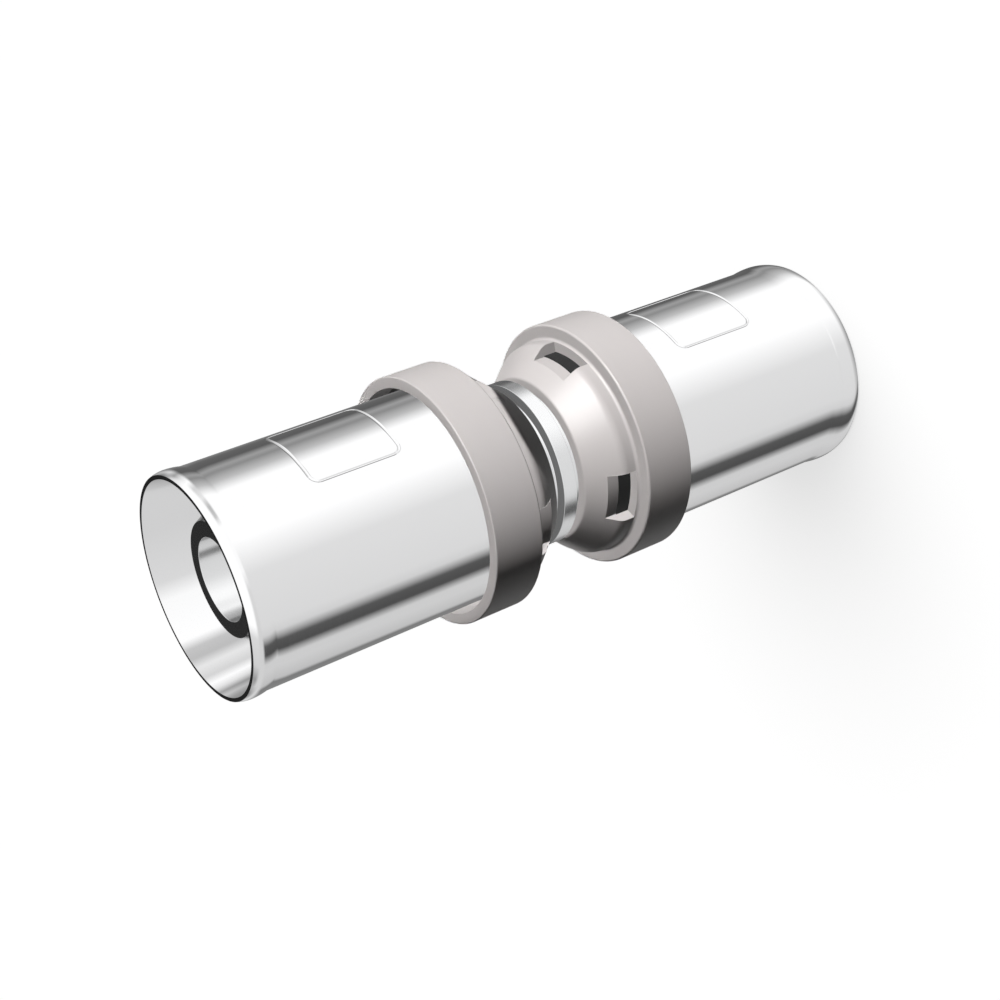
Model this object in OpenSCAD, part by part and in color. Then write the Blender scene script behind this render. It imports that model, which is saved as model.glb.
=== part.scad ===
// Straight press coupling for multilayer pipe, standing on the mouth of its lower sleeve.
// Each half is drawn from the middle of the coupling outwards along +Z, then set in place twice.

/* [Pipe] */
// Outer diameter of the pipe that the coupling takes
pipe_d = 16; // [14:0.5:20]
// Wall of that pipe
pipe_wall = 2; // [1.5:0.25:2.5]

/* [Press sleeve] */
// Radial clearance between pipe and sleeve
pipe_gap = 0.35; // [0.2:0.05:0.5]
// Sheet thickness of the sleeve
sleeve_wall = 0.8; // [0.6:0.1:1.2]
// Length of one sleeve
sleeve_l = 24; // [23:0.5:40]
// Length of the rounded lip at the mouth
lip_l = 2.1; // [1.5:0.1:4]
// How far the lip swells beyond the sleeve, in radius
lip_h = 0.15; // [0.05:0.01:0.4]
// Distance from the mouth back to the crest of the lip
lip_crest = 0.9; // [0.5:0.1:1.2]
// How far the edge of the mouth drops below the outside of the sleeve, in radius
mouth_drop = 0.03; // [0:0.01:0.1]
// Flat edge left at the mouth outside the lead-in
mouth_edge = 0.34; // [0.3:0.02:0.5]
// Length of the slow lead-in inside the mouth
lead_l = 5.5; // [1:0.5:8]
// Side of the square stamped panel
panel_w = 8.1; // [4:0.1:9]
// Distance from the mouth to the near edge of the panel
panel_inset = 8.55; // [5:0.05:10]
// Width of the pressed line round the panel
panel_line = 0.3; // [0.2:0.05:0.5]
// Depth of the pressed line
panel_depth = 0.08; // [0.04:0.02:0.14]
// Corner radius of the panel
panel_corner = 0.9; // [0.6:0.1:1.5]

/* [Fitting body] */
// Radial clearance between spigot and pipe
spigot_gap = 0.2; // [0.1:0.05:0.3]
// Wall of the spigot
spigot_wall = 2.35; // [2:0.05:2.8]
// Distance from the mouth of the sleeve back to the tip of the spigot
tip_recess = 2.15; // [1:0.05:4]
// Width of the flat face at the tip of the spigot
tip_edge = 1.3; // [0.6:0.1:1.4]
// Length of the lead-in cone behind the tip
tip_cone_l = 1.9; // [1:0.1:3]
// Height of the neck above the spigot
neck_h = 0.4; // [0.2:0.05:0.6]
// Height of the middle collar above the neck
collar_h = 0.95; // [0.6:0.05:1.4]
// Width of the middle collar
collar_w = 1.3; // [1:0.1:4]
// Chamfer on the edges of the collar
collar_edge = 0.1; // [0.05:0.05:0.3]
// Height above the neck of the flange that locks the retaining ring
lock_h = 1.2; // [0.8:0.05:1.4]
// Width of that flange
lock_w = 0.9; // [0.8:0.1:1.4]

/* [Barbs] */
// Distance from one barb to the next
barb_pitch = 1.25; // [1:0.05:1.4]
// Depth of a barb
barb_h = 0.3; // [0.1:0.05:0.4]
// Barbs in each of the three groups on a spigot
barb_count = 3; // [1:1:3]
// Plain spigot on each side of a group of barbs
land_l = 0.5; // [0.3:0.1:0.7]

/* [Seals] */
// Thickness of an O-ring
seal_cord = 1.6; // [1.4:0.1:1.8]
// How far an O-ring stands above the spigot
seal_proud = 0.25; // [0.1:0.05:0.4]
// Axial clearance of an O-ring in its groove
seal_gap = 0.4; // [0.2:0.1:0.6]
// Play between an O-ring and the floor of its groove
seal_play = 0.02; // [0.01:0.01:0.05]

/* [Insulating ring] */
// Radius of the insulating ring beyond the pipe
insulator_lip = 0.35; // [0.2:0.05:0.5]
// Play of the insulating ring on the spigot
insulator_play = 0.05; // [0.02:0.01:0.1]
// Radial clearance round the insulating ring in its recess
recess_gap = 0.1; // [0.06:0.02:0.16]
// Distance from the end of the sleeve back to the face that stops the pipe
stop_gap = 0.35; // [0.2:0.05:0.6]

/* [Retaining ring] */
// Gap between the collar and the nose of the ring
nose_gap = 0.76; // [0.4:0.02:2]
// Wall of the nose in front of the recess for the locking flange
nose_wall = 1.55; // [1.2:0.05:1.8]
// Length of the cone between nose and shoulder
cone_l = 2.6; // [2.3:0.05:2.9]
// Length of the cylindrical shoulder
shoulder_l = 1.3; // [1:0.1:1.6]
// Wall round the insulating ring
shoulder_wall = 0.87; // [0.8:0.01:1]
// Thickness of the wall that the end of the sleeve meets
web = 1; // [0.8:0.05:1.4]
// Length of the band round the sleeve
band_l = 4.5; // [4:0.1:8]
// Wall of the band
band_wall = 0.95; // [0.8:0.05:1.4]
// Open gap between the band and the sleeve
band_gap = 0.5; // [0.3:0.05:0.8]
// Length of the seat that grips the sleeve
seat_l = 1.1; // [0.8:0.1:1.6]
// Play between the sleeve and its seat
seat_play = 0.03; // [0.01:0.01:0.05]
// Play of the ring on the neck and over the locking flange
ring_play = 0.08; // [0.05:0.01:0.12]
// Radius of the edge of the nose
nose_edge = 0.3; // [0.1:0.05:0.4]
// Radius that blends the cone into the shoulder
shoulder_round = 1.2; // [0.5:0.1:1.5]
// Fillet between the shoulder and the web
web_fillet = 0.3; // [0.1:0.05:0.4]
// Radius of the edge between web and band
band_edge = 0.2; // [0.1:0.05:0.4]
// Radius of the edge at the open rim of the band
rim_edge = 0.12; // [0.05:0.01:0.2]
// Number of inspection windows
window_count = 4; // [2:1:5]
// Angle that one window spans
window_angle = 28.4; // [20:0.2:40]
// How far the floor of a window lies below the web
window_sink = 0.2; // [0.1:0.05:0.3]

/* [Hidden] */
$fn = 96;

// Overlap that keeps cuts clear of the faces they leave
eps = 0.01;
// Steps in each half of the curve of the lip
lip_steps = 5;
// Azimuth of the stamped panel and of the first window
front = -90;

// Radii
pipe_r = pipe_d / 2;
sleeve_ri = pipe_r + pipe_gap;
sleeve_r = sleeve_ri + sleeve_wall;
spigot_r = pipe_r - pipe_wall - spigot_gap;
bore_r = spigot_r - spigot_wall;
tip_r = bore_r + tip_edge;
neck_r = spigot_r + neck_h;
collar_r = neck_r + collar_h;
lock_r = neck_r + lock_h;
insulator_r = pipe_r + insulator_lip;
recess_r = insulator_r + recess_gap;
shoulder_r = recess_r + shoulder_wall;
seat_r = sleeve_r + seat_play;
band_ri = sleeve_r + band_gap;
band_r = band_ri + band_wall;

// Stations along the axis, measured from the middle of the coupling
nose_z = collar_w / 2 + nose_gap;
lock_z = nose_z + nose_wall;
insulator_z = lock_z + lock_w + ring_play;
cone_z = nose_z + cone_l;
web_z = cone_z + shoulder_l;
seat_z = web_z + web;
stop_z = seat_z - stop_gap;
band_z = web_z + band_l;
mouth_z = seat_z + sleeve_l;
tip_z = mouth_z - tip_recess;

// Seals and barbs, counted back from the tip and out from the pipe stop
seal_w = seal_cord + seal_gap;
seal_floor_r = spigot_r + seal_proud - seal_cord - seal_play;
barbs_l = barb_count * barb_pitch + 2 * land_l;
seal_outer_z = tip_z - tip_cone_l - barbs_l - seal_w;
seal_inner_z = seal_outer_z - barbs_l - seal_w;

// A group of barbs from z, each a long slope down towards the tip and a steep step up behind it
function barbs(z) = [
    for (i = [0 : barb_count - 1]) each [
        [spigot_r, z + land_l + i * barb_pitch],
        [spigot_r - barb_h, z + land_l + (i + 1) * barb_pitch]
    ],
    [spigot_r, z + barbs_l - land_l]
];

// A square groove from z
function groove(z) = [
    [spigot_r, z], [seal_floor_r, z],
    [seal_floor_r, z + seal_w], [spigot_r, z + seal_w]
];

// Outline of one half of the body, from the collar to the tip
function half_body() = concat(
    [[collar_r, collar_w / 2 - collar_edge], [collar_r - collar_edge, collar_w / 2],
     [neck_r, collar_w / 2], [neck_r, lock_z + ring_play],
     [lock_r, lock_z + ring_play], [lock_r, insulator_z],
     [spigot_r, insulator_z]],
    barbs(stop_z),
    groove(seal_inner_z),
    barbs(seal_inner_z + seal_w),
    groove(seal_outer_z),
    barbs(seal_outer_z + seal_w),
    [[spigot_r, tip_z - tip_cone_l], [tip_r, tip_z], [bore_r, tip_z]]
);

function flipped(points) = [for (i = [len(points) - 1 : -1 : 0]) [points[i][0], -points[i][1]]];

// Lifts the coupling so that the mouth of the lower sleeve is at height 0
module stand() {
    translate([0, 0, mouth_z]) children();
}

// A piece of the upper half, or the same piece mirrored to the lower half
module half(lower) {
    stand() mirror([0, 0, lower ? 1 : 0]) children();
}

// Turned body: collar, locking flanges, two barbed spigots and the bore
module fitting_body() {
    color("silver") stand() rotate_extrude()
        polygon(concat(half_body(), flipped(half_body())));
}

// Outline of the lip, which swells to its crest and rounds off to the edge of the mouth
function lip() = concat(
    [for (i = [0 : lip_steps]) let (t = 1 - i / lip_steps)
        [sleeve_r + lip_h * (1 - t * t), mouth_z - lip_crest - (lip_l - lip_crest) * t]],
    [for (i = [1 : lip_steps]) let (t = i / lip_steps)
        [sleeve_r + lip_h - (lip_h + mouth_drop) * t * t, mouth_z - lip_crest * (1 - t)]]
);

// Outline of the sleeve, with a rounded lip at the mouth and a lead-in for the pipe
module sleeve_outline() {
    polygon(concat(
        [[sleeve_ri, seat_z], [sleeve_r, seat_z]],
        lip(),
        [[sleeve_r - mouth_drop - mouth_edge, mouth_z], [sleeve_ri, mouth_z - lead_l]]
    ));
}

module rounded_square(w, r) {
    square([w - 2 * r, w], center = true);
    square([w, w - 2 * r], center = true);
    for (x = [-1, 1], y = [-1, 1])
        translate([x * (w / 2 - r), y * (w / 2 - r)]) circle(r);
}

// Line pressed into the sleeve round a bare square panel
module panel_cut() {
    intersection() {
        rotate([90, 0, front + 90]) translate([0, mouth_z - panel_inset - panel_w / 2, 0])
            linear_extrude(sleeve_r + sleeve_wall) difference() {
                rounded_square(panel_w, panel_corner);
                rounded_square(panel_w - 2 * panel_line, panel_corner - panel_line);
            }
        rotate_extrude() translate([sleeve_r - panel_depth, seat_z])
            square([sleeve_wall, sleeve_l]);
    }
}

module press_sleeve(lower) {
    color("gainsboro") half(lower) difference() {
        rotate_extrude() sleeve_outline();
        panel_cut();
    }
}

// Region between the corner c of an outline and the arc of radius r that rounds it, where p and q
// are the neighbours of c
module corner_piece(p, c, q, r) {
    u = (p - c) / norm(p - c);
    v = (q - c) / norm(q - c);
    bisector = (u + v) / norm(u + v);
    half_sin = sqrt((1 - u * v) / 2);
    run = r * sqrt(1 - half_sin * half_sin) / half_sin;
    centre = c + bisector * r / half_sin;
    start = c + u * run;
    end = c + v * run;
    difference() {
        polygon([
            centre,
            start + (start - centre) * eps / r,
            c - bisector * eps / half_sin,
            end + (end - centre) * eps / r
        ]);
        translate(centre) circle(r);
    }
}

// Outline of the ring: nose, cone, shoulder, web and band, hollow for the pieces inside
module ring_outline() {
    bore = [neck_r + ring_play, nose_z];
    nose = [collar_r, nose_z];
    cone_end = [shoulder_r, cone_z];
    web_root = [shoulder_r, web_z];
    web_rim = [band_r, web_z];
    rim_out = [band_r, band_z];
    rim_in = [band_ri, band_z];
    fillet = web_root + [web_fillet, -web_fillet];
    difference() {
        polygon([
            bore, nose, cone_end,
            [web_root[0], fillet[1]], fillet, [fillet[0], web_root[1]],
            web_rim, rim_out, rim_in,
            [band_ri, seat_z + seat_l + band_gap],
            [seat_r, seat_z + seat_l],
            [seat_r, seat_z],
            [recess_r, seat_z],
            [recess_r, insulator_z],
            [lock_r + ring_play, insulator_z],
            [lock_r + ring_play, lock_z],
            [neck_r + ring_play, lock_z]
        ]);
        translate(fillet) circle(web_fillet);
        corner_piece(bore, nose, cone_end, nose_edge);
        corner_piece(nose, cone_end, web_root, shoulder_round);
        corner_piece(web_root, web_rim, rim_out, band_edge);
        corner_piece(web_rim, rim_out, rim_in, rim_edge);
    }
}

// Window cut straight down along the axis, which opens into the recess behind the nose
module window_cut() {
    rotate([0, 0, -window_angle / 2]) rotate_extrude(angle = window_angle)
        translate([insulator_r, nose_z])
            square([shoulder_r + web_fillet - insulator_r, web_z - window_sink - nose_z]);
}

// Moulded ring that holds the sleeve, with windows that show whether the pipe is home
module retaining_ring(lower) {
    color("rosybrown") half(lower) difference() {
        rotate_extrude() ring_outline();
        for (i = [0 : window_count - 1])
            rotate([0, 0, front + i * 360 / window_count]) window_cut();
    }
}

// Ring that stops the pipe and keeps its metal layer off the body
module insulating_ring(lower) {
    inner_r = spigot_r + insulator_play;
    color("dimgray") half(lower) rotate_extrude() translate([inner_r, insulator_z])
        square([insulator_r - inner_r, stop_z - insulator_z]);
}

// O-ring in the groove that starts at z
module o_ring(z, lower) {
    color("dimgray") half(lower) rotate_extrude()
        translate([seal_floor_r + seal_play + seal_cord / 2, z + seal_w / 2])
            circle(d = seal_cord);
}

fitting_body();
press_sleeve(false);  // press_sleeve_top
press_sleeve(true);  // press_sleeve_bottom
retaining_ring(false);  // retaining_ring_top
retaining_ring(true);  // retaining_ring_bottom
insulating_ring(false);  // insulating_ring_top
insulating_ring(true);  // insulating_ring_bottom
o_ring(seal_outer_z, false);  // o_ring_top_outer
o_ring(seal_inner_z, false);  // o_ring_top_inner
o_ring(seal_inner_z, true);  // o_ring_bottom_inner
o_ring(seal_outer_z, true);  // o_ring_bottom_outer
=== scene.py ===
import math

import bpy
from mathutils import Matrix, Vector


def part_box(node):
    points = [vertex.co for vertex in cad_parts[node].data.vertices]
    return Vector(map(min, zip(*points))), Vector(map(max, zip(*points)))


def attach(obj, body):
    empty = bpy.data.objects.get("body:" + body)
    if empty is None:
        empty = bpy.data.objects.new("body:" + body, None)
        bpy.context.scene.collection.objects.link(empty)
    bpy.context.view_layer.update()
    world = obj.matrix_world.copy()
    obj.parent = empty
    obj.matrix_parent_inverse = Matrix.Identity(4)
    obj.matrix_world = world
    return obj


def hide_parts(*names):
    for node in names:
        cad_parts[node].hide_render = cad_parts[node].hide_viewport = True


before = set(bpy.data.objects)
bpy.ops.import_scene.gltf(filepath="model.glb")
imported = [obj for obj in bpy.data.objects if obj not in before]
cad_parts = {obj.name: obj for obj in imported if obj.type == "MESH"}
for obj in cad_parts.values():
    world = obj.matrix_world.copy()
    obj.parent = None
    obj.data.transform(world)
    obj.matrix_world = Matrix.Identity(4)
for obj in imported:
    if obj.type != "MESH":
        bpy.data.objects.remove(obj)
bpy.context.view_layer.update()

# The frame is in metres, and the sizes below are in millimetres
MM = 0.001

# Sizes that the model doesn't give by itself
LIP_L = 2.1
LIP_H = 0.15
LIP_CREST = 0.9
MOUTH_DROP = 0.03
MOUTH_EDGE = 0.34
LEAD_L = 5.5
PANEL_W = 8.1
PANEL_INSET = 8.55
PANEL_LINE = 0.3
PANEL_DEPTH = 0.08
PANEL_CORNER = 0.9
BORE_R = 3.45
TIP_R = 4.75
TIP_CONE_L = 1.9
NECK_R = 6.2
COLLAR_R = 7.15
COLLAR_W = 1.3
BARB_PITCH = 1.25
BARB_H = 0.3
BARB_COUNT = 3
LAND_L = 0.5
SEAL_W = 2.0
SEAL_DEPTH = 1.37
NOSE_WALL = 1.55
RING_PLAY = 0.08
CONE_L = 2.6
SHOULDER_R = 9.32
SHOULDER_L = 1.3
BAND_RI = 9.65
SEAT_R = 9.18
SEAT_L = 1.1
RECESS_R = 8.45
NOSE_EDGE = 0.3
SHOULDER_ROUND = 1.2
WEB_FILLET = 0.3
BAND_EDGE = 0.2
RIM_EDGE = 0.12
WINDOW_ANGLE = 28.4
WINDOW_COUNT = 4
WINDOW_SINK = 0.2

# Azimuth of the stamped panel and of the first window, in degrees
FRONT = -90

# Fineness of the turned surfaces: steps in a turn, in degrees, and in millimetres along the axis
TURN_STEPS = 240
SEAL_STEPS = 24
SLEEVE_TURN = 1.5
SLEEVE_STEP = 1
LIP_STEP = 0.15
CREST_STEP = 0.1
LEAD_STEPS = 20

# Step in and beside the panel's line, and the clear space that it covers round the line
PANEL_STEP = 0.06
PANEL_SIDE = 0.05
CORNER_SIDE = 0.1

# Points closer than the first become one, and an outer face is told from a wall by the second
WELD = 0.0005
NEAR = 0.01

# Edges sharper than this many degrees are broken by a bevel of one of these widths
SHARP_ANGLE = 28
EDGE_R = 0.04
SLEEVE_EDGE = 0.012
INSULATOR_EDGE = 0.08

# Wall of the sleeve, step down to the spigot, and the play of the sleeve and the insulating ring
SLEEVE_WALL = 0.8
SPIGOT_STEP = 0.4
SEAT_PLAY = 0.03
INSULATOR_PLAY = 0.05


def top_of(node):
    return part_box(node)[1].z / MM


def bottom_of(node):
    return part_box(node)[0].z / MM


def radius_of(node):
    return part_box(node)[1].x / MM


# Stations measured from the middle of the coupling, and radii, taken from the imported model
MIDDLE = top_of("press_sleeve_top") / 2
MOUTH_Z = MIDDLE
TIP_Z = top_of("fitting_body") - MIDDLE
SEAT_Z = bottom_of("press_sleeve_top") - MIDDLE
NOSE_Z = bottom_of("retaining_ring_top") - MIDDLE
BAND_Z = top_of("retaining_ring_top") - MIDDLE
INSULATOR_Z = bottom_of("insulating_ring_top") - MIDDLE
STOP_Z = top_of("insulating_ring_top") - MIDDLE
LOCK_Z = NOSE_Z + NOSE_WALL
CONE_Z = NOSE_Z + CONE_L
WEB_Z = CONE_Z + SHOULDER_L
BAND_R = radius_of("retaining_ring_top")
INSULATOR_R = radius_of("insulating_ring_top")
LOCK_R = radius_of("fitting_body")
SLEEVE_R = SEAT_R - SEAT_PLAY
SLEEVE_RI = SLEEVE_R - SLEEVE_WALL
SPIGOT_R = NECK_R - SPIGOT_STEP
INSULATOR_RI = SPIGOT_R + INSULATOR_PLAY


# Shapes

def spread(low, high, step):
    """Evenly spaced values from low to high, both included, no further apart than step."""
    count = max(1, math.ceil(abs(high - low) / step - 1e-9))
    return [low + (high - low) * i / count for i in range(count + 1)]


def rounded(before, corner, after, radius, steps=6):
    """Points of the arc that rounds the corner of an outline between its two neighbours."""
    c = Vector(corner)
    u = (Vector(before) - c).normalized()
    v = (Vector(after) - c).normalized()
    half = u.angle(v) / 2
    run = radius / math.tan(half)
    centre = c + (u + v).normalized() * radius / math.sin(half)
    start = c + u * run - centre
    turn = start.angle_signed(c + v * run - centre)
    points = []
    for i in range(steps + 1):
        points.append(tuple(centre + Matrix.Rotation(-turn * i / steps, 2) @ start))
    return points


def flipped(points):
    return [(r, -z) for r, z in reversed(points)]


def placed(points, lower):
    """An outline of the upper half, or the same outline mirrored to the lower half."""
    return flipped(points) if lower else points


def turned(outlines, azimuths, closed=True, dent=None):
    """Points and faces of closed outlines of (radius, height), turned through the azimuths."""
    points = []
    faces = []
    for outline in outlines:
        base = len(points)
        size = len(outline)
        for azimuth in azimuths:
            for r, z in outline:
                inward = dent(r, azimuth, z) if dent else 0
                points.append(((r - inward) * math.cos(azimuth), (r - inward) * math.sin(azimuth), z))
        columns = len(azimuths)
        for i in range(columns if closed else columns - 1):
            here = base + i * size
            there = base + (i + 1) % columns * size
            for j in range(size):
                k = (j + 1) % size
                faces.append((here + j, there + j, there + k, here + k))
    return points, faces


def signed_area(outline):
    return sum(a[0] * b[1] - b[0] * a[1] for a, b in zip(outline, outline[1:] + outline[:1])) / 2


def mesh_piece(name, points, faces, edge_r=EDGE_R):
    """A smooth-shaded piece on the fixed frame, with its sharp edges broken."""
    mesh = bpy.data.meshes.new(name)
    lifted = [(x * MM, y * MM, (z + MIDDLE) * MM) for x, y, z in points]
    mesh.from_pydata(lifted, [], faces)
    mesh.validate()
    piece = bpy.data.objects.new(name, mesh)
    bpy.context.scene.collection.objects.link(piece)
    bpy.context.view_layer.objects.active = piece
    weld = piece.modifiers.new("weld", "WELD")
    weld.merge_threshold = WELD * MM
    if edge_r:
        bevel = piece.modifiers.new("edges", "BEVEL")
        bevel.width = edge_r * MM
        bevel.segments = 2
        bevel.limit_method = "ANGLE"
        bevel.angle_limit = math.radians(SHARP_ANGLE)
        bevel.harden_normals = True
    weight = piece.modifiers.new("flats", "WEIGHTED_NORMAL")
    weight.keep_sharp = True
    mesh.shade_smooth()
    mesh.set_sharp_from_angle(angle=math.radians(SHARP_ANGLE))
    return piece


def full_turn():
    return [math.tau * i / TURN_STEPS for i in range(TURN_STEPS)]


def faced_out(outline):
    """The outline in the order that makes turned faces look outwards."""
    return outline if signed_area(outline) > 0 else list(reversed(outline))


def turned_piece(name, outline, edge_r=EDGE_R):
    points, faces = turned([faced_out(outline)], full_turn())
    return mesh_piece(name, points, faces, edge_r)


# Body

def barbs(z):
    """A group of barbs from z, each a slope down towards the tip and a steep step up behind it."""
    points = []
    for i in range(BARB_COUNT):
        points.append((SPIGOT_R, z + LAND_L + i * BARB_PITCH))
        points.append((SPIGOT_R - BARB_H, z + LAND_L + (i + 1) * BARB_PITCH))
    points.append((SPIGOT_R, z + LAND_L + BARB_COUNT * BARB_PITCH))
    return points


def groove(z):
    floor_r = SPIGOT_R - SEAL_DEPTH
    return [(SPIGOT_R, z), (floor_r, z), (floor_r, z + SEAL_W), (SPIGOT_R, z + SEAL_W)]


def half_body():
    barbs_l = BARB_COUNT * BARB_PITCH + 2 * LAND_L
    seal_outer = TIP_Z - TIP_CONE_L - barbs_l - SEAL_W
    seal_inner = seal_outer - barbs_l - SEAL_W
    points = [(COLLAR_R, COLLAR_W / 2), (NECK_R, COLLAR_W / 2), (NECK_R, LOCK_Z + RING_PLAY)]
    points += [(LOCK_R, LOCK_Z + RING_PLAY), (LOCK_R, INSULATOR_Z), (SPIGOT_R, INSULATOR_Z)]
    points += barbs(STOP_Z)
    points += groove(seal_inner)
    points += barbs(seal_inner + SEAL_W)
    points += groove(seal_outer)
    points += barbs(seal_outer + SEAL_W)
    points += [(SPIGOT_R, TIP_Z - TIP_CONE_L), (TIP_R, TIP_Z), (BORE_R, TIP_Z)]
    return points


def make_body():
    half = half_body()
    piece = turned_piece("turned_body", half + flipped(half))
    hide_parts("fitting_body")
    return piece


# Press sleeves

def lip_r(z):
    """Outer radius of the sleeve, which swells to the crest of the lip and rounds off to the mouth."""
    back = MOUTH_Z - z
    if back >= LIP_L:
        return SLEEVE_R
    if back >= LIP_CREST:
        share = (back - LIP_CREST) / (LIP_L - LIP_CREST)
        return SLEEVE_R + LIP_H * (1 - share * share)
    share = 1 - back / LIP_CREST
    return SLEEVE_R + LIP_H - (LIP_H + MOUTH_DROP) * share * share


def panel_dent(r, azimuth, z):
    """Depth of the line pressed round the panel, at a point on the outside of the sleeve."""
    if r < SLEEVE_R - NEAR:
        return 0
    reach = PANEL_W / 2 - PANEL_CORNER
    across = abs(SLEEVE_R * math.remainder(azimuth - math.radians(FRONT), math.tau)) - reach
    along = abs(abs(z) - (MOUTH_Z - PANEL_INSET - PANEL_W / 2)) - reach
    edge = math.hypot(max(across, 0), max(along, 0)) + min(max(across, along), 0) - PANEL_CORNER
    share = abs(edge + PANEL_LINE / 2) / (PANEL_LINE / 2)
    if share >= 1:
        return 0
    return PANEL_DEPTH * (1 + math.cos(math.pi * share)) / 2


def fine_near_edges(low, high, fine, coarse):
    """Values from low to high that lie close together where the panel's line and corners are."""
    rim = PANEL_CORNER + CORNER_SIDE
    values = spread(low, low + rim, fine)
    values += spread(low + rim, high - rim, coarse)[1:-1]
    values += spread(high - rim, high, fine)
    return values


def sleeve_outline():
    near = MOUTH_Z - PANEL_INSET + PANEL_SIDE
    far = MOUTH_Z - PANEL_INSET - PANEL_W - PANEL_SIDE
    stations = spread(SEAT_Z, far, SLEEVE_STEP)[:-1]
    stations += fine_near_edges(far, near, PANEL_STEP, 10 * PANEL_STEP)
    stations += spread(near, MOUTH_Z - LIP_L, SLEEVE_STEP)[1:]
    stations += spread(MOUTH_Z - LIP_L, MOUTH_Z - LIP_CREST, LIP_STEP)[1:]
    stations += spread(MOUTH_Z - LIP_CREST, MOUTH_Z, CREST_STEP)[1:]
    points = [(lip_r(z), z) for z in stations]
    points += [(lip_r(MOUTH_Z) - MOUTH_EDGE, MOUTH_Z)]
    points += rounded(points[-1], (SLEEVE_RI, MOUTH_Z - LEAD_L), (SLEEVE_RI, SEAT_Z), LEAD_STEPS)
    points += [(SLEEVE_RI, SEAT_Z)]
    return points


def sleeve_azimuths():
    half = math.degrees((PANEL_W / 2 + PANEL_SIDE) / SLEEVE_R)
    to_degrees = math.degrees(1 / SLEEVE_R)
    rim = (PANEL_CORNER + CORNER_SIDE) * to_degrees
    values = spread(-half, -half + rim, PANEL_STEP * to_degrees)
    values += spread(-half + rim, half - rim, SLEEVE_TURN)[1:-1]
    values += spread(half - rim, half, PANEL_STEP * to_degrees)
    values += spread(half, 360 - half, SLEEVE_TURN)[1:-1]
    return [math.radians(FRONT + value) for value in values]


def make_sleeve(side):
    lower = side == "bottom"
    outline = faced_out(placed(sleeve_outline(), lower))
    points, faces = turned([outline], sleeve_azimuths(), dent=panel_dent)
    piece = mesh_piece("sleeve_" + side, points, faces, SLEEVE_EDGE)
    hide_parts("press_sleeve_" + side)
    return piece


# Retaining rings

def fillet_r(depth):
    """Radius at which the fillet of the web has the given height above the web."""
    return SHOULDER_R + WEB_FILLET - math.sqrt(WEB_FILLET ** 2 - (WEB_FILLET - depth) ** 2)


def ring_parts():
    """Outlines of the ring: nose side, window stretch and band side, which join into one."""
    bore = (NECK_R + RING_PLAY, NOSE_Z)
    nose = (COLLAR_R, NOSE_Z)
    cone_end = (SHOULDER_R, CONE_Z)
    web_root = (SHOULDER_R, WEB_Z)
    web_rim = (BAND_R, WEB_Z)
    rim_out = (BAND_R, BAND_Z)
    rim_in = (BAND_RI, BAND_Z)
    window_z = NOSE_Z + (INSULATOR_R - COLLAR_R) * CONE_L / (SHOULDER_R - COLLAR_R)
    window_top = (INSULATOR_R, window_z)
    floor_z = WEB_Z - WINDOW_SINK
    fillet = rounded(cone_end, web_root, web_rim, WEB_FILLET)
    floor_out = (fillet_r(WINDOW_SINK), floor_z)
    below = [p for p in fillet if p[1] < floor_z - WELD]
    above = [p for p in fillet if p[1] > floor_z + WELD]
    inside = [
        (LOCK_R + RING_PLAY, INSULATOR_Z), (LOCK_R + RING_PLAY, LOCK_Z),
        (NECK_R + RING_PLAY, LOCK_Z),
    ]
    nose_side = rounded(bore, nose, cone_end, NOSE_EDGE) + [window_top]
    nose_side += [(INSULATOR_R, INSULATOR_Z)] + inside + [bore]
    stretch = [window_top] + rounded(nose, cone_end, web_root, SHOULDER_ROUND, 10) + below
    stretch += [floor_out, (RECESS_R, floor_z), (RECESS_R, INSULATOR_Z), (INSULATOR_R, INSULATOR_Z)]
    band_side = [floor_out] + above + rounded(web_root, web_rim, rim_out, BAND_EDGE)
    band_side += rounded(web_rim, rim_out, rim_in, RIM_EDGE, 3)
    band_side += [
        rim_in, (BAND_RI, SEAT_Z + SEAT_L + BAND_RI - SLEEVE_R), (SEAT_R, SEAT_Z + SEAT_L),
        (SEAT_R, SEAT_Z), (RECESS_R, SEAT_Z), (RECESS_R, floor_z),
    ]
    return nose_side, stretch, band_side


def whole_ring(nose_side, stretch, band_side):
    """Outline of the ring between its windows."""
    floor_at = stretch.index(band_side[0])
    split = nose_side.index(stretch[0])
    points = nose_side[:split] + stretch[:floor_at] + band_side
    return points + [stretch[-2]] + nose_side[split + 2:]


def capped(points, faces, outline, azimuth, reverse):
    """Adds the flat wall of a window at an azimuth."""
    base = len(points)
    for r, z in outline:
        points.append((r * math.cos(azimuth), r * math.sin(azimuth), z))
    ring = list(range(base, base + len(outline)))
    faces.append(tuple(reversed(ring)) if reverse else tuple(ring))


def window_runs():
    """Azimuths at which each window starts and ends, and at which the next one starts."""
    for i in range(WINDOW_COUNT):
        middle = FRONT + i * 360 / WINDOW_COUNT
        start = middle - WINDOW_ANGLE / 2
        yield start, middle + WINDOW_ANGLE / 2, start + 360 / WINDOW_COUNT


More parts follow.
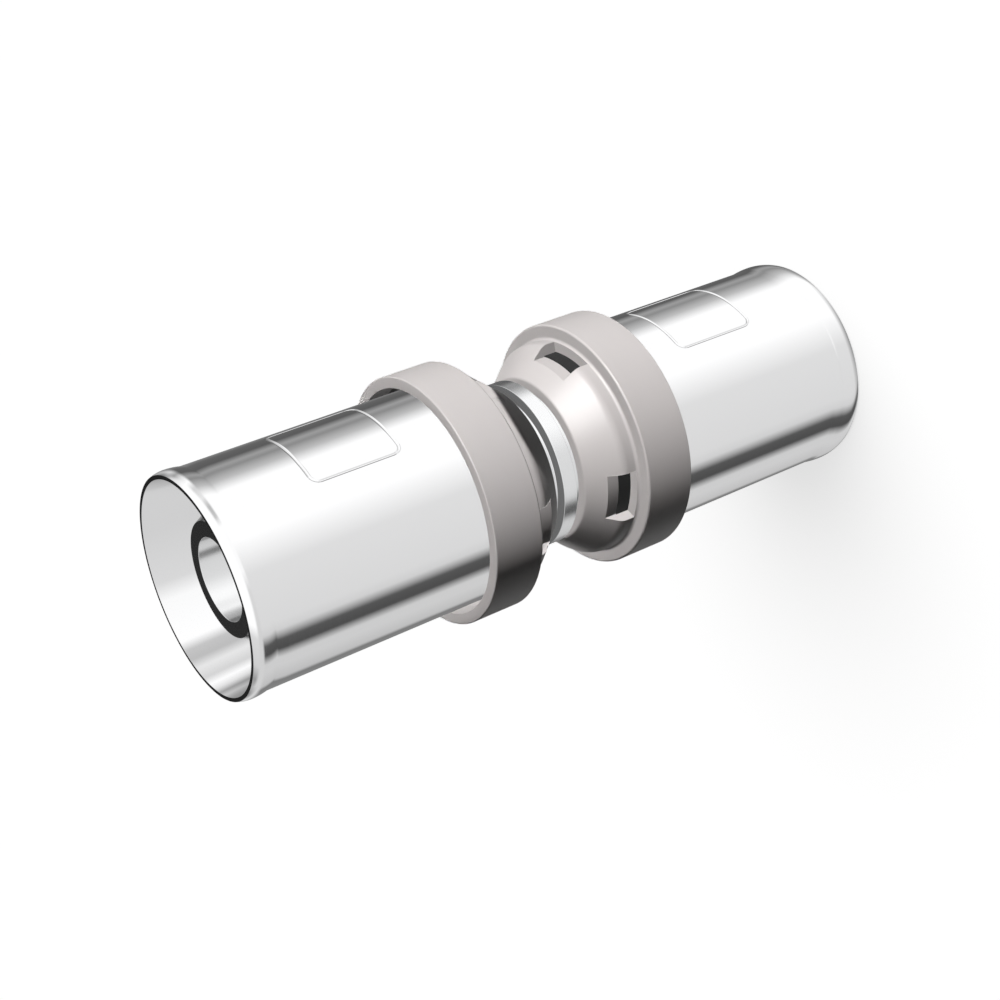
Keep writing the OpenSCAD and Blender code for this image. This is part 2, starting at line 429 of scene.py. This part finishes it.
def make_ring(side):
    lower = side == "bottom"
    parts = [placed(part, lower) for part in ring_parts()]
    nose_side, stretch, band_side = [faced_out(part) for part in parts]
    whole = faced_out(placed(whole_ring(*ring_parts()), lower))
    points = []
    faces = []

    def add(new_points, new_faces):
        base = len(points)
        points.extend(new_points)
        faces.extend(tuple(base + index for index in face) for face in new_faces)

    step = 360 / TURN_STEPS
    for start, end, following in window_runs():
        open_run = [math.radians(a) for a in spread(start, end, step)]
        solid_run = [math.radians(a) for a in spread(end, following, step)]
        add(*turned([nose_side, band_side], open_run, closed=False))
        add(*turned([whole], solid_run, closed=False))
        capped(points, faces, stretch, math.radians(start), reverse=False)
        capped(points, faces, stretch, math.radians(end), reverse=True)
    piece = mesh_piece("ring_" + side, points, faces)
    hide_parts("retaining_ring_" + side)
    return piece


# Insulating rings and seals

def make_insulator(side):
    lower = side == "bottom"
    outline = [
        (INSULATOR_RI, INSULATOR_Z), (INSULATOR_R, INSULATOR_Z),
        (INSULATOR_R, STOP_Z), (INSULATOR_RI, STOP_Z),
    ]
    piece = turned_piece("insulator_" + side, placed(outline, lower), INSULATOR_EDGE)
    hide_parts("insulating_ring_" + side)
    return piece


def make_seal(node):
    low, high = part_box(node)
    cord_r = (high.z - low.z) / 2 / MM
    middle_r = high.x / MM - cord_r
    middle_z = (low.z + high.z) / 2 / MM - MIDDLE
    outline = []
    for i in range(SEAL_STEPS):
        turn = math.tau * i / SEAL_STEPS
        outline.append((middle_r + cord_r * math.cos(turn), middle_z + cord_r * math.sin(turn)))
    piece = turned_piece(node.replace("o_ring", "seal"), outline, 0)
    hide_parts(node)
    return piece


# Materials

# Noise values that a range is spread over, scales of the mottle and of the lines round the axis,
# shares by which the mottle changes a colour, swing of the roughness, and strengths of the relief
NOISE_SPAN = (0.3, 0.7)
MOTTLE_SCALE = 180
LINE_STRETCH = 30
LINE_DETAIL = 4
GRAIN_DETAIL = 2
MOTTLE_DARK = 0.97
MOTTLE_LIGHT = 1.02
ROUGH_SWING = 0.04
LINE_RELIEF = 0.3
GRAIN_RELIEF = 0.4


def new_material(name):
    material = bpy.data.materials.new(name)
    material.use_nodes = True
    nodes = material.node_tree.nodes
    return material, nodes, material.node_tree.links, nodes["Principled BSDF"]


def value_range(nodes, links, source, low, high):
    """Maps a noise value to the range from low to high."""
    mapped = nodes.new("ShaderNodeMapRange")
    mapped.inputs["From Min"].default_value = NOISE_SPAN[0]
    mapped.inputs["From Max"].default_value = NOISE_SPAN[1]
    mapped.inputs["To Min"].default_value = low
    mapped.inputs["To Max"].default_value = high
    links.new(source, mapped.inputs["Value"])
    return mapped.outputs["Result"]


def stretched_noise(nodes, links, scale, detail):
    """Noise in object coordinates, with a scale of its own along each axis."""
    place = nodes.new("ShaderNodeTexCoord")
    stretch = nodes.new("ShaderNodeMapping")
    stretch.inputs["Scale"].default_value = scale
    noise = nodes.new("ShaderNodeTexNoise")
    noise.inputs["Scale"].default_value = 1
    noise.inputs["Detail"].default_value = detail
    links.new(place.outputs["Object"], stretch.inputs["Vector"])
    links.new(stretch.outputs["Vector"], noise.inputs["Vector"])
    return noise.outputs["Fac"]


def bumped(nodes, links, shader, height, distance, strength):
    """Raises a surface by a height value, by up to the distance in millimetres."""
    bump = nodes.new("ShaderNodeBump")
    bump.inputs["Distance"].default_value = distance * MM
    bump.inputs["Strength"].default_value = strength
    links.new(height, bump.inputs["Height"])
    links.new(bump.outputs["Normal"], shader.inputs["Normal"])


def metal(name, colour, rough, line_scale, line_depth):
    """Turned or drawn metal, with fine lines that run round the axis."""
    material, nodes, links, shader = new_material(name)
    shader.inputs["Base Color"].default_value = (*colour, 1)
    shader.inputs["Metallic"].default_value = 1
    lines = stretched_noise(nodes, links, (LINE_STRETCH, LINE_STRETCH, line_scale), LINE_DETAIL)
    links.new(value_range(nodes, links, lines, *rough), shader.inputs["Roughness"])
    bumped(nodes, links, shader, lines, line_depth, LINE_RELIEF)
    return material


def plastic(name, colour, roughness, specular, grain_scale, grain_depth):
    """Moulded plastic with a fine grain and a faint mottle in its colour."""
    material, nodes, links, shader = new_material(name)
    shader.inputs["Specular IOR Level"].default_value = specular
    mottle = stretched_noise(nodes, links, (MOTTLE_SCALE,) * 3, GRAIN_DETAIL)
    blend = nodes.new("ShaderNodeMix")
    blend.data_type = "RGBA"
    blend.inputs["A"].default_value = (*[c * MOTTLE_DARK for c in colour], 1)
    blend.inputs["B"].default_value = (*[min(c * MOTTLE_LIGHT, 1) for c in colour], 1)
    links.new(mottle, blend.inputs["Factor"])
    links.new(blend.outputs["Result"], shader.inputs["Base Color"])
    grain = stretched_noise(nodes, links, (grain_scale,) * 3, GRAIN_DETAIL)
    rough = value_range(nodes, links, grain, roughness - ROUGH_SWING, roughness + ROUGH_SWING)
    links.new(rough, shader.inputs["Roughness"])
    bumped(nodes, links, shader, grain, grain_depth, GRAIN_RELIEF)
    return material


def polished_steel():
    return metal("polished_steel", (0.90, 0.90, 0.905), (0.05, 0.09), 9000, 0.0004)


def tin_plating():
    return metal("tin_plating", (0.88, 0.885, 0.89), (0.17, 0.23), 14000, 0.002)


def grey_plastic():
    return plastic("grey_plastic", (0.72, 0.68, 0.67), 0.38, 0.2, 6000, 0.002)


def black_plastic():
    return plastic("black_plastic", (0.018, 0.018, 0.018), 0.5, 0.2, 5000, 0.004)


def black_rubber():
    return plastic("black_rubber", (0.02, 0.02, 0.02), 0.6, 0.2, 4000, 0.004)


# Stage, light and camera

# Bands of light round the studio, as pairs of azimuth from the camera's side and brightness
BANDS = [
    (-180, 0.22), (-152, 0.19), (-144, 0.5), (-118, 0.6), (-106, 0.6), (-94, 0.07), (-82, 0.09),
    (-70, 0.62), (-60, 0.68), (-5, 0.72), (30, 1.0), (88, 1.0), (104, 0.5), (120, 0.25),
    (128, 0.33), (140, 0.1), (158, 0.12), (180, 0.25),
]
# The same above and below those bands
HIGH_BANDS = [
    (-180, 0.62), (-80, 0.62), (-20, 0.68), (0, 0.95), (50, 1.0), (62, 0.55), (75, 0.5),
    (88, 0.8), (105, 0.65), (118, 1.0), (130, 0.75), (141, 0.35), (152, 0.65), (166, 0.45),
    (180, 0.3),
]
# The same from a little below eye level upwards
TOP_BANDS = [
    (-180, 0.3), (-150, 0.5), (-130, 0.3), (-110, 0.62), (-75, 0.68), (-60, 1.0), (120, 1.0),
    (150, 0.6), (180, 0.3),
]
# An even grey low down
LOW_BANDS = [(-180, 0.3), (180, 0.3)]
# Heights between which each set of bands gives way to the next, from the low grey upwards
BAND_STEPS = [(-80, -54), (-19.5, -14), (-7, -1)]
BAND_GAIN = 1.12
# The bands narrow by this share for each degree that a direction dips
BAND_TAPER = 0.005
BAND_DIP = 30
# Dark card behind the part, which upward faces mirror, as heights and brightness
CARD = [(-12, 1), (-4, 0.05), (24, 0.05), (30, 0.5), (44, 1)]
CARD_SIDES = [(-180, 1), (-145, 1), (-125, 0), (125, 0), (145, 1), (180, 1)]
AMBIENT = 0.01
FLOOR_GLOW = 0.74
FLOOR_PAINT = 0.8
FLOOR_HALF_M = 3

CAMERA_AZIMUTH = -141.5
CAMERA_REACH = 128.9
CAMERA_HEIGHT = 103.86
CAMERA_AIM = (-1.377, 1.673, 33.289)
CAMERA_ROLL = -111.507
LENS = 63.74
SENSOR = 36
NEAR_CLIP_M = 0.01

KEY_AZIMUTH = -96
KEY_HEIGHT = 28
KEY_STRENGTH = 3.35
KEY_SOFTNESS = 20

TOP_AZIMUTH = -75
TOP_HEIGHT = 72
TOP_STRENGTH = 1.1
TOP_SOFTNESS = 36

# Beam that lights the upper ring: where its lower edge passes the axis, and how that edge is tilted
BEAM_EDGE = -1.2
BEAM_TILT = -13.3
BEAM_REACH = 30
BEAM_WIDTH = 60
BEAM_HEIGHT = 30
BEAM_SPREAD = 1

SHINE_AZIMUTH = -98
SHINE_HEIGHT = 43
SHINE_STRENGTH = 11
SHINE_SOFTNESS = 45

# Behind the part, straight across from the camera
FILL_STRENGTH = 2.6
FILL_SOFTNESS = 5


def math_node(nodes, links, operation, first, second=None):
    node = nodes.new("ShaderNodeMath")
    node.operation = operation
    for socket, value in zip(node.inputs, (first, second)):
        if value is None:
            continue
        if isinstance(value, (int, float)):
            socket.default_value = value
        else:
            links.new(value, socket)
    return node.outputs["Value"]


def ramp_node(nodes, links, value, stops, span):
    """A colour ramp over angles in degrees, from minus half the span to half the span."""
    share = math_node(nodes, links, "DIVIDE", value, math.radians(span))
    share = math_node(nodes, links, "ADD", share, 0.5)
    ramp = nodes.new("ShaderNodeValToRGB")
    elements = ramp.color_ramp.elements
    while len(elements) < len(stops):
        elements.new(0.5)
    for element, (angle, brightness) in zip(elements, stops):
        element.position = angle / span + 0.5
        element.color = (brightness, brightness, brightness, 1)
    links.new(share, ramp.inputs["Fac"])
    return ramp.outputs["Color"]


def blend_node(nodes, links, factor, first, second, blend_type="MIX"):
    blend = nodes.new("ShaderNodeMix")
    blend.data_type = "RGBA"
    blend.blend_type = blend_type
    for socket, value in ((blend.inputs["Factor"], factor), (blend.inputs["A"], first),
                          (blend.inputs["B"], second)):
        if isinstance(value, (int, float, tuple)):
            socket.default_value = value
        else:
            links.new(value, socket)
    return blend.outputs["Result"]


def make_world():
    """White to the camera, bands of light to glossy surfaces, a dim even light to the rest."""
    world = bpy.data.worlds.new("studio")
    bpy.context.scene.world = world
    world.use_nodes = True
    nodes = world.node_tree.nodes
    links = world.node_tree.links
    place = nodes.new("ShaderNodeTexCoord")
    turn = nodes.new("ShaderNodeVectorRotate")
    turn.rotation_type = "Z_AXIS"
    turn.inputs["Angle"].default_value = math.radians(-CAMERA_AZIMUTH)
    split = nodes.new("ShaderNodeSeparateXYZ")
    links.new(place.outputs["Generated"], turn.inputs["Vector"])
    links.new(turn.outputs["Vector"], split.inputs["Vector"])
    azimuth = math_node(nodes, links, "ARCTAN2", split.outputs["Y"], split.outputs["X"])
    height = math_node(nodes, links, "ARCSINE", split.outputs["Z"])
    dip = math_node(nodes, links, "ADD", height, math.radians(BAND_DIP))
    taper = math_node(nodes, links, "MULTIPLY", dip, math.degrees(BAND_TAPER))
    taper = math_node(nodes, links, "ADD", taper, 1)
    tapered = math_node(nodes, links, "MULTIPLY", azimuth, taper)
    light = ramp_node(nodes, links, tapered, LOW_BANDS, 360)
    for (low, high), bands in zip(BAND_STEPS, (BANDS, HIGH_BANDS, TOP_BANDS)):
        above = ramp_node(nodes, links, height, [(-90, 0), (low, 0), (high, 1), (90, 1)], 180)
        upper = ramp_node(nodes, links, tapered, bands, 360)
        light = blend_node(nodes, links, above, light, upper)
    card = ramp_node(nodes, links, height, CARD, 180)
    sides = ramp_node(nodes, links, azimuth, CARD_SIDES, 360)
    card = blend_node(nodes, links, sides, (1, 1, 1, 1), card)
    light = blend_node(nodes, links, 1, light, card, "MULTIPLY")
    glow = nodes["Background"]
    glow.inputs["Strength"].default_value = BAND_GAIN
    links.new(light, glow.inputs["Color"])
    dim = nodes.new("ShaderNodeBackground")
    dim.inputs["Strength"].default_value = AMBIENT
    white = nodes.new("ShaderNodeBackground")
    for background in (dim, white):
        background.inputs["Color"].default_value = (1, 1, 1, 1)
    rays = nodes.new("ShaderNodeLightPath")
    by_glossy = nodes.new("ShaderNodeMixShader")
    by_camera = nodes.new("ShaderNodeMixShader")
    links.new(rays.outputs["Is Glossy Ray"], by_glossy.inputs["Fac"])
    links.new(dim.outputs["Background"], by_glossy.inputs[1])
    links.new(glow.outputs["Background"], by_glossy.inputs[2])
    links.new(rays.outputs["Is Camera Ray"], by_camera.inputs["Fac"])
    links.new(by_glossy.outputs["Shader"], by_camera.inputs[1])
    links.new(white.outputs["Background"], by_camera.inputs[2])
    links.new(by_camera.outputs["Shader"], nodes["World Output"].inputs["Surface"])


def make_floor():
    """A white floor that keeps a soft shadow; only the camera sees it."""
    half = FLOOR_HALF_M
    mesh = bpy.data.meshes.new("floor")
    corners = [(-half, -half, 0), (half, -half, 0), (half, half, 0), (-half, half, 0)]
    mesh.from_pydata(corners, [], [(0, 1, 2, 3)])
    floor = bpy.data.objects.new("floor", mesh)
    bpy.context.scene.collection.objects.link(floor)
    material = bpy.data.materials.new("white_floor")
    material.use_nodes = True
    nodes = material.node_tree.nodes
    links = material.node_tree.links
    nodes.remove(nodes["Principled BSDF"])
    paint = nodes.new("ShaderNodeBsdfDiffuse")
    paint.inputs["Color"].default_value = (FLOOR_PAINT, FLOOR_PAINT, FLOOR_PAINT, 1)
    glow = nodes.new("ShaderNodeEmission")
    glow.inputs["Strength"].default_value = FLOOR_GLOW
    both = nodes.new("ShaderNodeAddShader")
    clear = nodes.new("ShaderNodeBsdfTransparent")
    rays = nodes.new("ShaderNodeLightPath")
    by_camera = nodes.new("ShaderNodeMixShader")
    links.new(paint.outputs["BSDF"], both.inputs[0])
    links.new(glow.outputs["Emission"], both.inputs[1])
    links.new(rays.outputs["Is Camera Ray"], by_camera.inputs["Fac"])
    links.new(clear.outputs["BSDF"], by_camera.inputs[1])
    links.new(both.outputs["Shader"], by_camera.inputs[2])
    links.new(by_camera.outputs["Shader"], nodes["Material Output"].inputs["Surface"])
    mesh.materials.append(material)
    return floor


def direction(azimuth, height):
    level = math.cos(math.radians(height))
    x = level * math.cos(math.radians(azimuth))
    y = level * math.sin(math.radians(azimuth))
    return Vector((x, y, math.sin(math.radians(height))))


def make_lamp(name, azimuth, height, strength, softness):
    """A lamp far away, in a direction from the part, whose softness is its width in degrees."""
    light = bpy.data.lights.new(name, "SUN")
    light.energy = strength
    light.angle = math.radians(softness)
    lamp = bpy.data.objects.new(name, light)
    lamp.rotation_euler = direction(azimuth, height).to_track_quat("Z", "Y").to_euler()
    bpy.context.scene.collection.objects.link(lamp)
    return lamp


def lit_only(lamp, pieces):
    """Lets a lamp light these pieces and nothing else."""
    lit = bpy.data.collections.new("lit_by_" + lamp.name)
    for piece in pieces:
        lit.objects.link(piece)
    lamp.light_linking.receiver_collection = lit


def make_beam(name, azimuth, height, strength):
    """A lamp of parallel light with a straight lower edge, which leaves a ring's cone in the shade."""
    light = bpy.data.lights.new(name, "AREA")
    light.shape = "RECTANGLE"
    light.size = BEAM_WIDTH * MM
    light.size_y = BEAM_HEIGHT * MM
    light.energy = strength * light.size * light.size_y
    light.spread = math.radians(BEAM_SPREAD)
    lamp = bpy.data.objects.new(name, light)
    level = direction(azimuth, height).to_track_quat("Z", "Y").to_matrix()
    tilted = level @ Matrix.Rotation(math.radians(BEAM_TILT), 3, "Z")
    place = Vector((0, 0, MIDDLE)) + level @ Vector((0, BEAM_EDGE, BEAM_REACH))
    place += tilted @ Vector((0, BEAM_HEIGHT / 2, 0))
    lamp.matrix_world = Matrix.Translation(place * MM) @ tilted.to_4x4()
    lamp.visible_camera = False
    bpy.context.scene.collection.objects.link(lamp)
    return lamp


def make_lamps(floor, mouldings, rings):
    """A key, a sheen and a rear fill for the plastic, and a lamp for the shadow on the floor."""
    upper, lower = rings
    key = make_lamp("key", KEY_AZIMUTH, KEY_HEIGHT, KEY_STRENGTH, KEY_SOFTNESS)
    key.data.use_shadow = False
    lit_only(key, mouldings + [lower])
    beam = make_beam("beam", KEY_AZIMUTH, KEY_HEIGHT, KEY_STRENGTH)
    beam.data.use_shadow = False
    lit_only(beam, [upper])
    shine = make_lamp("shine", SHINE_AZIMUTH, SHINE_HEIGHT, SHINE_STRENGTH, SHINE_SOFTNESS)
    shine.data.use_shadow = False
    shine.visible_diffuse = False
    lit_only(shine, rings)
    fill = make_lamp("fill", CAMERA_AZIMUTH + 180, 0, FILL_STRENGTH, FILL_SOFTNESS)
    fill.data.use_shadow = False
    lit_only(fill, mouldings + rings)
    top = make_lamp("top", TOP_AZIMUTH, TOP_HEIGHT, TOP_STRENGTH, TOP_SOFTNESS)
    lit_only(top, [floor])


def make_camera():
    data = bpy.data.cameras.new("camera")
    data.lens = LENS
    data.sensor_width = SENSOR
    data.clip_start = NEAR_CLIP_M
    camera = bpy.data.objects.new("camera", data)
    azimuth = math.radians(CAMERA_AZIMUTH)
    x = CAMERA_REACH * math.cos(azimuth)
    y = CAMERA_REACH * math.sin(azimuth)
    place = Vector((x, y, CAMERA_HEIGHT)) * MM
    back = place - Vector(CAMERA_AIM) * MM
    level = back.to_track_quat("Z", "Y").to_matrix()
    rolled = level @ Matrix.Rotation(math.radians(CAMERA_ROLL), 3, "Z")
    camera.matrix_world = Matrix.Translation(place) @ rolled.to_4x4()
    bpy.context.scene.collection.objects.link(camera)
    bpy.context.scene.camera = camera


# Scene

def dress(piece, material):
    """Puts a piece on the frame; the pieces neither mirror nor light each other."""
    piece.data.materials.clear()
    piece.data.materials.append(material)
    piece.visible_glossy = False
    piece.visible_diffuse = False
    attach(piece, "root")
    return piece


make_camera()
make_world()
floor = make_floor()

steel = polished_steel()
plating = tin_plating()
ring_grey = grey_plastic()
insulator_black = black_plastic()
rubber = black_rubber()

rings = []
mouldings = []
dress(make_body(), plating)
for side in ("top", "bottom"):
    dress(make_sleeve(side), steel)
    rings.append(dress(make_ring(side), ring_grey))
    mouldings.append(dress(make_insulator(side), insulator_black))
    for place in ("outer", "inner"):
        seal = make_seal("o_ring_" + side + "_" + place)
        mouldings.append(dress(seal, rubber))
make_lamps(floor, mouldings, rings)

bpy.context.scene.view_settings.view_transform = "Standard"
